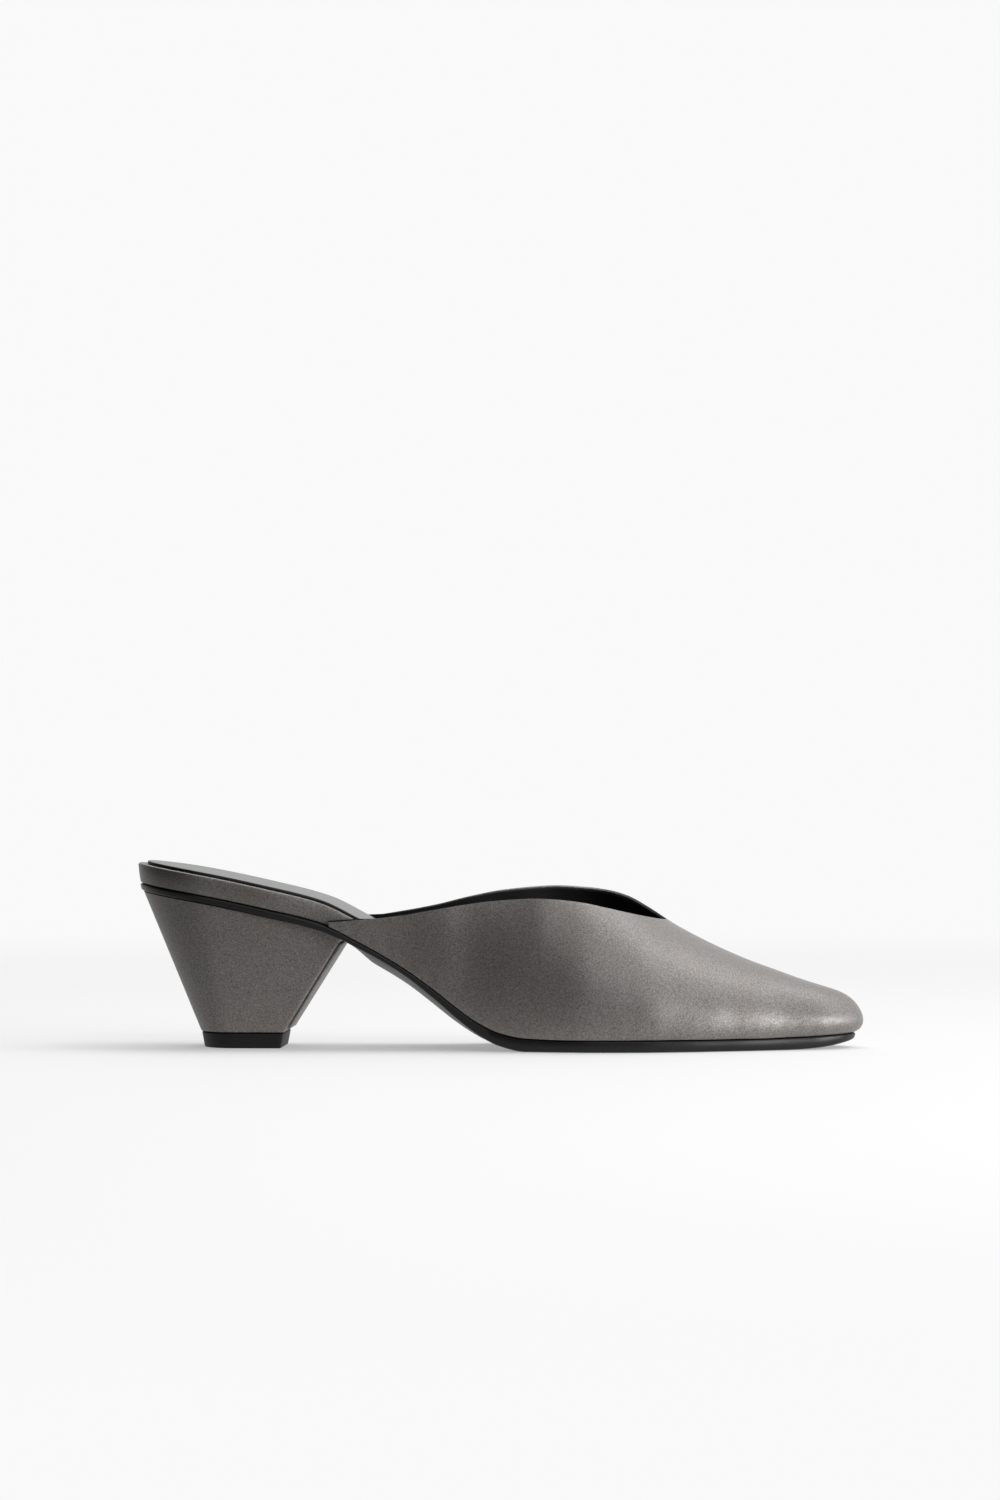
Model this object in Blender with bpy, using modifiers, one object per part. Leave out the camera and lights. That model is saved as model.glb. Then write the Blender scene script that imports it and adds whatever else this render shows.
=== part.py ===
"""Cone heel mule, right shoe: a satin vamp on a wrapped board, a rubber sole and a covered heel.

The shoe points along +X, its outer side is at -Y and it stands on z = 0. Every form is worked out
from the sizes below. Tables hold shares of those sizes, one row a station along the sole, and x is
measured from the back of the sole until the finished shoe is centred on the origin.
"""
import math

import bmesh
import bpy

# Sole, in metres
SOLE_LENGTH = 0.2435
BALL_WIDTH = 0.0760
SEAT_HEIGHT = 0.0557
TREAD_THICKNESS = 0.0039
WAIST_CROWN = 0.0038
CROWN_REACH = 0.0110
SOLE_EDGE_ROUND = 0.0006
TOE_SPRING = 0.0012
TREAD_LIFT = 0.0031
HEEL_ROUND = 0.0240
TOE_ROUND = 0.0140

# Board and sock that the foot rests on
BOARD_HEIGHT = 0.0066
BOARD_FRONT_HEIGHT = 0.0030
BOARD_FLARE = 0.0007
BOARD_EDGE_ROUND = 0.0006
BOARD_NARROWS = 0.0260
SOCK_THICKNESS = 0.0009
SOCK_INSET = 0.0025

# Upper
UPPER_WALL = 0.0013
WING_START = 0.0660
WING_TIP_HEIGHT = 0.0012
THROAT_X = 0.1795
THROAT_RISE = 0.0392
OUTER_PEAK_RISE = 0.0470
INNER_PEAK_RISE = 0.0502
SIDE_BULGE = 0.0022
TOE_RIDGE_END = 0.2280

# Heel, its cover and its tip
BREAST_TOP_X = 0.0700
BREAST_BASE_X = 0.0503
HEEL_BASE_BACK_X = 0.0208
HEEL_BASE_WIDTH = 0.0325
HEEL_BASE_ROUND = 0.0110
HEEL_BACK_INSET = 0.0012
HEEL_BREAST_INSET = 0.0040
HEEL_CORNER = 0.0010
TIP_HEIGHT = 0.0052
TIP_TAPER = 0.0013
COVER_THICKNESS = 0.0006
COVER_INSET = 0.0030

# Clearance between neighbours
GAP = 0.0003

# How finely the forms are divided
ROUND_STEPS = 8
STATION_STEP = 0.0050
WING_RIBS = 25
TOE_RIBS = 18
RIB_ROWS = 12
HEEL_STEPS = 14
HEEL_LEVELS = 6

OUTER, INNER = -1, 1

# Share of sole length; centre line and half width, as shares of the ball width
PLAN = (
    ("share", "centre", "half"),
    (0.00, 0.000, 0.340),
    (0.10, 0.000, 0.351),
    (0.20, -0.005, 0.350),
    (0.30, -0.018, 0.328),
    (0.38, -0.038, 0.307),
    (0.45, -0.056, 0.318),
    (0.52, -0.057, 0.372),
    (0.58, -0.038, 0.437),
    (0.64, -0.015, 0.483),
    (0.70, 0.008, 0.492),
    (0.76, 0.027, 0.462),
    (0.83, 0.042, 0.390),
    (0.90, 0.043, 0.284),
    (0.95, 0.040, 0.212),
    (1.00, 0.036, 0.150),
)

# Share of sole length; rise of its top as a share of the seat's, thickness at its edge as a share of
# the tread's, and how much of the crown it carries underneath
SIDE = (
    ("share", "rise", "thickness", "crown"),
    (0.00, 1.000, 0.60, 1.00),
    (0.09, 0.930, 0.60, 1.00),
    (0.18, 0.842, 0.60, 1.00),
    (0.26, 0.746, 0.56, 1.00),
    (0.31, 0.633, 0.54, 1.00),
    (0.37, 0.474, 0.56, 1.00),
    (0.42, 0.310, 0.76, 0.94),
    (0.45, 0.200, 0.90, 0.74),
    (0.48, 0.104, 1.00, 0.46),
    (0.51, 0.040, 1.08, 0.20),
    (0.545, 0.008, 1.12, 0.00),
    (0.60, 0.000, 1.00, 0.00),
    (1.00, 0.000, 1.00, 0.00),
)

# Share of sole length; height of the last's ridge above the sole as a share of the throat's, its
# place across as a share of the ball width, how square the section is, and its share of the bulge.
# Behind the throat the collar cuts the form below this ridge.
LAST = (
    ("share", "ridge_rise", "crest", "fullness", "bulge"),
    (0.26, 1.15, 0.000, 2.30, 0.00),
    (0.37, 1.42, -0.010, 2.30, 0.15),
    (0.44, 1.58, -0.010, 2.25, 0.40),
    (0.50, 1.69, 0.000, 2.20, 0.65),
    (0.56, 1.68, 0.010, 2.15, 0.90),
    (0.615, 1.54, 0.025, 2.10, 1.00),
    (0.677, 1.290, 0.040, 2.10, 1.00),
    (0.737, 1.000, 0.045, 2.10, 1.00),
    (0.789, 0.820, 0.050, 2.15, 1.00),
    (0.841, 0.672, 0.050, 2.20, 0.95),
    (0.891, 0.552, 0.048, 2.20, 0.90),
    (0.941, 0.425, 0.042, 2.20, 1.10),
    (1.00, 0.300, 0.036, 2.30, 1.40),
)

# Share of the way from the wing's start to the throat; height of the collar on each side, from its
# ends at 0 to its peak at 1
COLLAR = (
    ("way", "outer", "inner"),
    (0.00, 0.000, 0.000),
    (0.10, 0.120, 0.080),
    (0.20, 0.260, 0.235),
    (0.30, 0.490, 0.428),
    (0.40, 0.730, 0.678),
    (0.50, 0.910, 0.872),
    (0.62, 1.000, 0.985),
    (0.66, 0.980, 1.000),
    (0.75, 0.840, 0.950),
    (0.82, 0.620, 0.860),
    (0.88, 0.410, 0.690),
    (0.94, 0.200, 0.370),
    (1.00, 0.000, 0.000),
)
COLLAR_PEAK = {OUTER: 0.62, INNER: 0.66}
COLLAR_SIDES = {OUTER: (OUTER_PEAK_RISE, "outer"), INNER: (INNER_PEAK_RISE, "inner")}

# Where the board grows thin under the vamp, and where the tip of the sole lifts, as shares of length
BOARD_THINS = (0.33, 0.56)
SPRING_START = 0.84
LIFT_START = 0.88

# How far toward the middle each ring of the crown lies
CROWN_RINGS = (0.35, 0.72)

# Where the bulge is widest on a rib, and how quickly the ribs gather at the toe
BULGE_EXPONENT = 0.65
FAN_START = 1.5


def read(table, name, share):
    """Value of a table's named column at a share, on a smooth curve that never overshoots its rows."""
    column = table[0].index(name)
    rows = table[1:]
    last = len(rows) - 1
    if share <= rows[0][0]:
        return rows[0][column]
    if share >= rows[last][0]:
        return rows[last][column]
    row = max(k for k in range(last) if rows[k][0] <= share)

    def secant(k):
        return (rows[k + 1][column] - rows[k][column]) / (rows[k + 1][0] - rows[k][0])

    def slope(k):
        if k in (0, last):
            return secant(min(k, last - 1))
        before, after = secant(k - 1), secant(k)
        if before * after <= 0:
            return 0.0
        return 2 * before * after / (before + after)

    step = rows[row + 1][0] - rows[row][0]
    t = (share - rows[row][0]) / step
    start, end = rows[row][column], rows[row + 1][column]
    return (start * (1 + 2 * t) * (1 - t) ** 2 + end * t * t * (3 - 2 * t)
            + step * t * (1 - t) * (slope(row) * (1 - t) - slope(row + 1) * t))


def ease(start, end, value):
    """Rises smoothly from 0 at start to 1 at end."""
    t = min(max((value - start) / (end - start), 0.0), 1.0)
    return t * t * (3 - 2 * t)


def mix(a, b, t):
    return a + (b - a) * t


def round_end(distance, reach):
    """Width share of an elliptical end: 0 at the end itself and 1 from its reach on."""
    t = min(max(distance / reach, 0.0), 1.0)
    return math.sqrt(t * (2 - t))


def centre_y(x):
    return BALL_WIDTH * read(PLAN, "centre", x / SOLE_LENGTH)


def half_width(x):
    ends = round_end(x, HEEL_ROUND) * round_end(SOLE_LENGTH - x, TOE_ROUND)
    return BALL_WIDTH * read(PLAN, "half", x / SOLE_LENGTH) * ends


def side_y(x, side):
    return centre_y(x) + side * half_width(x)


def late_rise(x, start, height, power):
    """Height gained toward the toe, from a share of the length on."""
    past = max((x / SOLE_LENGTH - start) / (1 - start), 0.0)
    return height * past ** power


def level_top(x):
    """Top of the sole before the toe spring."""
    return mix(TREAD_THICKNESS, SEAT_HEIGHT, read(SIDE, "rise", x / SOLE_LENGTH))


def sole_top(x):
    return level_top(x) + late_rise(x, SPRING_START, TOE_SPRING, 2)


def sole_bottom(x, crown=0.0):
    """Underside of the sole; crown runs from 0 at its edge to 1 in its middle."""
    share = x / SOLE_LENGTH
    edge = level_top(x) - TREAD_THICKNESS * read(SIDE, "thickness", share)
    in_front = ease(BREAST_TOP_X, BREAST_TOP_X + CROWN_REACH, x)
    crowned = edge - crown * in_front * WAIST_CROWN * read(SIDE, "crown", share)
    return max(crowned, 0.0) + late_rise(x, LIFT_START, TREAD_LIFT, 3)


def board_top(x):
    share = x / SOLE_LENGTH
    height = mix(BOARD_HEIGHT, BOARD_FRONT_HEIGHT, ease(BOARD_THINS[0], BOARD_THINS[1], share))
    return sole_top(x) + GAP + height


def even_places(start, end):
    """Places from start up to, but not at, end."""
    count = max(round((end - start) / STATION_STEP), 1)
    return [mix(start, end, k / count) for k in range(count)]


def stations():
    """Places along the sole: even in the middle, at even angles round both ends."""
    back = [HEEL_ROUND * (1 - math.cos(math.pi / 2 * k / ROUND_STEPS)) for k in range(ROUND_STEPS)]
    marks = sorted((HEEL_ROUND, WING_START, BREAST_TOP_X, SOLE_LENGTH - TOE_ROUND))
    middle = [x for start, end in zip(marks, marks[1:]) for x in even_places(start, end)]
    toe = [SOLE_LENGTH - TOE_ROUND * (1 - math.cos(math.pi / 2 * k / ROUND_STEPS))
           for k in range(ROUND_STEPS, -1, -1)]
    return back + middle + toe


def outline(inset):
    """Sole's outline in plan, moved inward: the back, the outer side, the tip, then the inner side."""
    places = stations()
    loop = [(x, side_y(x, OUTER)) for x in places]
    loop += [(x, side_y(x, INNER)) for x in reversed(places[1:-1])]
    moved = []
    for k, (x, y) in enumerate(loop):
        x_before, y_before = loop[k - 1]
        x_after, y_after = loop[(k + 1) % len(loop)]
        run, climb = x_after - x_before, y_after - y_before
        length = math.hypot(run, climb)
        moved.append((x - climb / length * inset(x), y + run / length * inset(x)))
    return moved


def ring(inset, height):
    return [(x, y, height(x)) for x, y in outline(inset)]


def toward_middle(points, share, height):
    """A ring drawn in toward the line that runs between its two sides."""
    count = len(points)
    drawn = []
    for k, (x, y, _) in enumerate(points):
        middle = (y + points[-k % count][1]) / 2
        drawn.append((x, mix(y, middle, share), height(x)))
    return drawn


def strip_across(loop):
    """Faces between the two sides of a ring that runs out along one side and back along the other."""
    half = len(loop) // 2
    faces = [(loop[0], loop[1], loop[-1])]
    faces += [(loop[k], loop[k + 1], loop[-k - 1], loop[-k]) for k in range(1, half - 1)]
    faces.append((loop[half - 1], loop[half], loop[half + 1]))
    return faces


def make_object(name, material, mesh_data):
    mesh_data.normal_update()
    bmesh.ops.recalc_face_normals(mesh_data, faces=mesh_data.faces)
    mesh = bpy.data.meshes.new(name)
    mesh_data.to_mesh(mesh)
    mesh_data.free()
    mesh.shade_smooth()
    mesh.set_sharp_from_angle(angle=math.radians(35))
    mesh.materials.append(material)
    shoe_object = bpy.data.objects.new(name, mesh)
    collection.objects.link(shoe_object)
    return shoe_object


def loft(name, material, rings, cap=strip_across):
    """Closed solid through rings of equal count, listed from the top down."""
    solid = bmesh.new()
    loops = [[solid.verts.new(point) for point in points] for points in rings]
    for above, below in zip(loops, loops[1:]):
        for k in range(len(above)):
            after = (k + 1) % len(above)
            solid.faces.new((above[k], above[after], below[after], below[k]))
    for face in cap(loops[0]) + cap(loops[-1]):
        solid.faces.new(face)
    return make_object(name, material, solid)


def material(name, color, roughness, metallic=0.0):
    made = bpy.data.materials.new(name)
    made.use_nodes = True
    shader = made.node_tree.nodes["Principled BSDF"]
    shader.inputs["Base Color"].default_value = (*color, 1.0)
    shader.inputs["Roughness"].default_value = roughness
    shader.inputs["Metallic"].default_value = metallic
    return made


def build_outsole():
    """Sole with a rounded edge, a crowned waist, a flat tread and toe spring."""
    bottom = ring(lambda x: 2 * SOLE_EDGE_ROUND, sole_bottom)
    rings = [
        ring(lambda x: SOLE_EDGE_ROUND, sole_top),
        ring(lambda x: 0.0, lambda x: sole_top(x) - SOLE_EDGE_ROUND),
        ring(lambda x: SOLE_EDGE_ROUND / 2, lambda x: sole_bottom(x) + SOLE_EDGE_ROUND),
        bottom,
    ]
    for share in CROWN_RINGS:
        crown = 1 - (1 - share) ** 2
        rings.append(toward_middle(bottom, share, lambda x: sole_bottom(x, crown)))
    return loft("outsole", rubber, rings)


def board_inset(x):
    """The board narrows toward the wings, which lie over its rim."""
    return ease(WING_START - BOARD_NARROWS, WING_START, x) * (UPPER_WALL + GAP)


def build_insole_board():
    """Wrapped board: its rim leans out at the heel and hides behind the upper in front."""
    def flared(share):
        cover = UPPER_WALL + GAP
        return lambda x: board_inset(x) - BOARD_FLARE * share * (1 - board_inset(x) / cover)

    def level(share):
        return lambda x: mix(sole_top(x) + GAP, board_top(x), share)

    edge = BOARD_EDGE_ROUND / BOARD_HEIGHT
    rings = [
        ring(lambda x: flared(1)(x) + BOARD_EDGE_ROUND, board_top),
        ring(flared(1), level(1 - edge)),
        ring(flared(0.5), level(0.5)),
        ring(flared(0), level(edge)),
        ring(lambda x: board_inset(x) + BOARD_EDGE_ROUND, level(0)),
    ]
    return loft("insole_board", satin, rings)


def build_insole_sock():
    """Thin sock on the board, set in from its rim."""
    def inset(x):
        return board_inset(x) + SOCK_INSET

    rings = [
        ring(lambda x: inset(x) + SOCK_THICKNESS / 3, lambda x: board_top(x) + GAP + SOCK_THICKNESS),
        ring(inset, lambda x: board_top(x) + GAP + SOCK_THICKNESS * 2 / 3),
        ring(inset, lambda x: board_top(x) + GAP),
    ]
    return loft("insole_sock", leatherette, rings)


def ridge_point(x):
    share = x / SOLE_LENGTH
    height = sole_top(x) + GAP + THROAT_RISE * read(LAST, "ridge_rise", share)
    return (x, BALL_WIDTH * read(LAST, "crest", share), height)


def collar_height(x, side):
    """Height of the collar's edge on one side, between the wing's start and the throat."""
    way = (x - WING_START) / (THROAT_X - WING_START)
    peak_rise, column = COLLAR_SIDES[side]
    peak = TREAD_THICKNESS + GAP + peak_rise
    if way < COLLAR_PEAK[side]:
        end = sole_top(WING_START) + GAP + WING_TIP_HEIGHT
    else:
        end = ridge_point(THROAT_X)[2]
    return mix(end, peak, read(COLLAR, column, way))


def toe_base_points(side):
    """Points at even steps along the sole's outline, from the throat round to the tip."""
    fine = 400
    reach = SOLE_LENGTH - THROAT_X
    path = []
    for k in range(fine + 1):
        x = SOLE_LENGTH - reach * (1 - math.sin(math.pi / 2 * k / fine))
        path.append((x, side_y(x, side)))
    walked = [0.0]
    for before, after in zip(path, path[1:]):
        walked.append(walked[-1] + math.dist(before, after))
    points = []
    for rib in range(TOE_RIBS + 1):
        wanted = walked[-1] * rib / TOE_RIBS
        k = min(sum(1 for length in walked if length < wanted), fine)
        points.append(path[k])
    return points


def ridge_fall(x, ahead):
    """How far the ridge would drop if it ran on from x as steeply as it does there."""
    step = SOLE_LENGTH / 500
    return (ridge_point(x - step)[2] - ridge_point(x + step)[2]) / (2 * step) * (ahead - x)


def rib(base, top, side_share, cut_height):
    """Points up one rib of the last, from the sole to the ridge or to the collar."""
    fullness = read(LAST, "fullness", side_share)
    bulge = SIDE_BULGE * read(LAST, "bulge", side_share)
    fall = ridge_fall(top[0], base[0])
    base_height = sole_top(base[0]) + GAP
    rise = top[2] - base_height
    run = math.dist(base, top[:2])
    reach = min((cut_height - base_height) / rise, 1.0)
    end_angle = math.asin(reach ** (fullness / 2))
    points = []
    for row in range(RIB_ROWS + 1):
        angle = end_angle * row / RIB_ROWS
        height = math.sin(angle) ** (2 / fullness)
        width = max(math.cos(angle), 0.0) ** (2 / fullness)
        if reach == 1.0 and row == RIB_ROWS:
            height, width = 1.0, 0.0
        out = bulge * math.sin(math.pi * height ** BULGE_EXPONENT) / run
        spread = width + out
        z = base_height + rise * height - fall * spread * (1 - spread) ** 2
        points.append((mix(top[0], base[0], spread), mix(top[1], base[1], spread), z))
    return points


def upper_ribs(side):
    """All ribs of one side, from the wing's start to the tip of the toe."""
    ribs = []
    for k in range(WING_RIBS):
        x = mix(WING_START + GAP, THROAT_X, k / WING_RIBS)
        ribs.append(rib((x, side_y(x, side)), ridge_point(x), x / SOLE_LENGTH, collar_height(x, side)))
    for k, base in enumerate(toe_base_points(side)):
        way = k / TOE_RIBS
        gathered = FAN_START * way + (1 - FAN_START) * way ** 2
        top = ridge_point(mix(THROAT_X, TOE_RIDGE_END, gathered))
        ribs.append(rib(base, top, base[0] / SOLE_LENGTH, top[2]))
    return ribs


def build_upper():
    """Hollow vamp: open at the collar, behind its wings and underneath, with one wall throughout."""
    shell = bmesh.new()
    sides = {}
    for side in (OUTER, INNER):
        sides[side] = [[shell.verts.new(point) for point in points] for points in upper_ribs(side)]
    for k in range(WING_RIBS, WING_RIBS + TOE_RIBS + 1):
        sides[INNER][k][-1] = sides[OUTER][k][-1]
    sides[INNER][-1] = sides[OUTER][-1]
    for side, ribs in sides.items():
        for here, ahead in zip(ribs, ribs[1:]):
            for row in range(RIB_ROWS):
                face = [here[row], ahead[row], ahead[row + 1], here[row + 1]]
                shell.faces.new(face if side == OUTER else reversed(face))
    loose = [vert for vert in shell.verts if not vert.link_faces]
    bmesh.ops.delete(shell, geom=loose, context="VERTS")
    mesh = bpy.data.meshes.new("upper")
    shell.to_mesh(mesh)
    shell.free()
    mesh.shade_smooth()
    mesh.materials.append(satin)
    upper = bpy.data.objects.new("upper", mesh)
    collection.objects.link(upper)
    wall = upper.modifiers.new("wall", "SOLIDIFY")
    wall.thickness = UPPER_WALL
    wall.offset = -1.0
    wall.use_even_offset = True
    return upper


def heel_half_outline(back_x, breast_x, half_at):
    """Half of a heel's D outline: from the middle of its back round to the corner of its breast."""
    points = []
    for k in range(HEEL_STEPS + 1):
        x = mix(back_x, breast_x - HEEL_CORNER, 1 - math.cos(math.pi / 2 * k / HEEL_STEPS))
        points.append((x, half_at(x)))
    corner_x, corner_y = points[-1]
    points.append((corner_x + HEEL_CORNER, corner_y - HEEL_CORNER))
    return points


def heel_ring(half, centre, height):
    """Closed ring from half an outline: its back, its outer side, then back along its inner side."""
    outer = [(x, centre(x) - y, height(x)) for x, y in half]
    inner = [(x, centre(x) + y, height(x)) for x, y in reversed(half[1:])]
    return outer + inner


def heel_top_half(x):
    """Half width of the heel where it meets the sole."""
    seat = x - HEEL_BACK_INSET
    inset = mix(HEEL_BACK_INSET, HEEL_BREAST_INSET, ease(HEEL_ROUND, BREAST_TOP_X, x))
    round_back = round_end(seat, HEEL_ROUND - HEEL_BACK_INSET)
    return (BALL_WIDTH * read(PLAN, "half", x / SOLE_LENGTH) - inset) * round_back


def heel_base_half(x, shrink=0.0):
    start = HEEL_BASE_BACK_X + shrink
    return (HEEL_BASE_WIDTH / 2 - shrink) * round_end(x - start, HEEL_BASE_ROUND)


def strip_heel(loop):
    """Faces across a heel ring, which has one point at its back and a flat breast."""
    half = (len(loop) + 1) // 2
    faces = [(loop[0], loop[1], loop[-1])]
    faces += [(loop[k], loop[k + 1], loop[-k - 1], loop[-k]) for k in range(1, half - 1)]
    return faces


def heel_ends():
    """The heel's rings at the sole and at its tip, which straight lines join."""
    top = heel_ring(heel_half_outline(HEEL_BACK_INSET, BREAST_TOP_X, heel_top_half),
                    centre_y, lambda x: sole_bottom(x) - GAP)
    base = heel_ring(heel_half_outline(HEEL_BASE_BACK_X, BREAST_BASE_X, heel_base_half),
                     lambda x: 0.0, lambda x: TIP_HEIGHT + GAP)
    return top, base


def build_heel():
    """Heel with a rounded back and flat, raked breast, narrowing straight down to its tip."""
    top, base = heel_ends()
    rings = []
    for level in range(HEEL_LEVELS + 1):
        way = level / HEEL_LEVELS
        rings.append([tuple(mix(a, b, way) for a, b in zip(above, below))
                      for above, below in zip(top, base)])
    return loft("heel", satin, rings, cap=strip_heel)


def build_heel_tip():
    """Rubber top piece that tapers to the floor."""
    def tip_ring(shrink, height):
        half = heel_half_outline(HEEL_BASE_BACK_X + shrink, BREAST_BASE_X - shrink,
                                 lambda x: heel_base_half(x, shrink))
        return heel_ring(half, lambda x: 0.0, lambda x: height)

    return loft("heel_tip", rubber, [tip_ring(GAP, TIP_HEIGHT), tip_ring(TIP_TAPER, 0.0)], cap=strip_heel)


def build_breast_cover():
    """Thin panel on the breast, inset from its edges."""
    top, base = heel_ends()
    corner = HEEL_STEPS + 1
    top_outer, top_inner = top[corner], top[corner + 1]
    base_outer, base_inner = base[corner], base[corner + 1]
    slant = math.dist((top_outer[0], top_outer[2]), (base_outer[0], base_outer[2]))
    face_x = (top_outer[2] - base_outer[2]) / slant
    face_z = (base_outer[0] - top_outer[0]) / slant
    corners = (
        (top_outer, base_outer, OUTER, 0),
        (top_outer, base_outer, OUTER, 1),
        (top_inner, base_inner, INNER, 1),
        (top_inner, base_inner, INNER, 0),
    )

    def panel(depth):
        points = []
        for above, below, side, way in corners:
            down = (COVER_INSET / 2 + (slant - COVER_INSET) * way) / slant
            x, y, z = (mix(a, b, down) for a, b in zip(above, below))
            points.append((x + face_x * depth, y - side * COVER_INSET, z + face_z * depth))
        return points

    rings = [panel(GAP + COVER_THICKNESS), panel(GAP)]
    return loft("heel_breast_cover", satin, rings, cap=lambda loop: [loop])


def centre_on_origin(pieces):
    """Moves the shoe so that the origin is under the middle of its box."""
    bpy.context.view_layer.update()
    graph = bpy.context.evaluated_depsgraph_get()
    corners = []
    for piece in pieces:
        shape = piece.evaluated_get(graph)
        corners += [piece.matrix_world @ vert.co for vert in shape.data.vertices]
    for piece in pieces:
        for axis in (0, 1):
            values = [corner[axis] for corner in corners]
            piece.location[axis] -= (min(values) + max(values)) / 2


for old in list(bpy.data.objects):
    bpy.data.objects.remove(old, do_unlink=True)
collection = bpy.data.collections.new("cone_heel_mule")
bpy.context.scene.collection.children.link(collection)

satin = material("grey_satin", (0.165, 0.155, 0.150), 0.42)
rubber = material("black_rubber", (0.012, 0.012, 0.013), 0.50)
leatherette = material("grey_leatherette", (0.10, 0.10, 0.10), 0.38)

centre_on_origin([
    build_outsole(),
    build_insole_board(),
    build_insole_sock(),
    build_upper(),
    build_heel(),
    build_breast_cover(),
    build_heel_tip(),
])
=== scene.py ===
"""Looks of the cone heel mule: grey satin, black lining, leatherette sock and black rubber.

Forms repeat the part's own sizes and sections at a finer step, in metres, with x measured from the
back of the sole; MOVE brings them into the frame.
"""
import math

import bmesh
import bpy
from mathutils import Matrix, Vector


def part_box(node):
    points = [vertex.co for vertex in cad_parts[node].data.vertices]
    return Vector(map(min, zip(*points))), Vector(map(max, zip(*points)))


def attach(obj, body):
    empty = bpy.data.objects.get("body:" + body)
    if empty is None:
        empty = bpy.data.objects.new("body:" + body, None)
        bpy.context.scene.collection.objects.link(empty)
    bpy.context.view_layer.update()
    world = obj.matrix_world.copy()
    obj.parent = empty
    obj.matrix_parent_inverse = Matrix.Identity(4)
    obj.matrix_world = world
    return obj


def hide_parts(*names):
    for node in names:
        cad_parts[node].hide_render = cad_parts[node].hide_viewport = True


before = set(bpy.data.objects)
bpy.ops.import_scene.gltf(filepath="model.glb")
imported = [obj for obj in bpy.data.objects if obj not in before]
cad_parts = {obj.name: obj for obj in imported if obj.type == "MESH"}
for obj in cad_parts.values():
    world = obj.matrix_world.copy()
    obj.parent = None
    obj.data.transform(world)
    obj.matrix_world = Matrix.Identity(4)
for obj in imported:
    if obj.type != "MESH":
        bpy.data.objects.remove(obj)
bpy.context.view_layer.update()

# Sole, in metres
SOLE_LENGTH = 0.2435
BALL_WIDTH = 0.0760
SEAT_HEIGHT = 0.0557
TREAD_THICKNESS = 0.0039
WAIST_CROWN = 0.0038
CROWN_REACH = 0.0110
SOLE_EDGE_ROUND = 0.0006
TOE_SPRING = 0.0012
TREAD_LIFT = 0.0031
HEEL_ROUND = 0.0240
TOE_ROUND = 0.0140

# Board and sock that the foot rests on
BOARD_HEIGHT = 0.0066
BOARD_FRONT_HEIGHT = 0.0030
BOARD_FLARE = 0.0007
BOARD_EDGE_ROUND = 0.0006
BOARD_NARROWS = 0.0260
SOCK_THICKNESS = 0.0009
SOCK_INSET = 0.0025

# Upper
UPPER_WALL = 0.0013
WING_START = 0.0660
WING_TIP_HEIGHT = 0.0012
THROAT_X = 0.1795
THROAT_RISE = 0.0392
OUTER_PEAK_RISE = 0.0470
INNER_PEAK_RISE = 0.0502
SIDE_BULGE = 0.0022
TOE_RIDGE_END = 0.2280

# Heel, its cover and its tip
BREAST_TOP_X = 0.0700
BREAST_BASE_X = 0.0503
HEEL_BASE_BACK_X = 0.0208
HEEL_BASE_WIDTH = 0.0325
HEEL_BASE_ROUND = 0.0110
HEEL_BACK_INSET = 0.0012
HEEL_BREAST_INSET = 0.0040
HEEL_CORNER = 0.0010
TIP_HEIGHT = 0.0052
TIP_TAPER = 0.0013
COVER_THICKNESS = 0.0006
COVER_INSET = 0.0030

# Clearance between neighbours
GAP = 0.0003

# How finely the forms are divided
ROUND_STEPS = 26
STATION_STEP = 0.0016
WING_RIBS = 110
TOE_RIBS = 70
RIB_ROWS = 44
HEEL_STEPS = 40
HEEL_LEVELS = 12
CORNER_STEPS = 4

OUTER, INNER = -1, 1

# Share of sole length; centre line and half width, as shares of the ball width
PLAN = (
    ("share", "centre", "half"),
    (0.00, 0.000, 0.340),
    (0.10, 0.000, 0.351),
    (0.20, -0.005, 0.350),
    (0.30, -0.018, 0.328),
    (0.38, -0.038, 0.307),
    (0.45, -0.056, 0.318),
    (0.52, -0.057, 0.372),
    (0.58, -0.038, 0.437),
    (0.64, -0.015, 0.483),
    (0.70, 0.008, 0.492),
    (0.76, 0.027, 0.462),
    (0.83, 0.042, 0.390),
    (0.90, 0.043, 0.284),
    (0.95, 0.040, 0.212),
    (1.00, 0.036, 0.150),
)

# Share of sole length; rise of its top as a share of the seat's, thickness at its edge as a share of
# the tread's, and how much of the crown it carries underneath
SIDE = (
    ("share", "rise", "thickness", "crown"),
    (0.00, 1.000, 0.60, 1.00),
    (0.09, 0.930, 0.60, 1.00),
    (0.18, 0.842, 0.60, 1.00),
    (0.26, 0.746, 0.56, 1.00),
    (0.31, 0.633, 0.54, 1.00),
    (0.37, 0.474, 0.56, 1.00),
    (0.42, 0.310, 0.76, 0.94),
    (0.45, 0.200, 0.90, 0.74),
    (0.48, 0.104, 1.00, 0.46),
    (0.51, 0.040, 1.08, 0.20),
    (0.545, 0.008, 1.12, 0.00),
    (0.60, 0.000, 1.00, 0.00),
    (1.00, 0.000, 1.00, 0.00),
)

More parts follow.
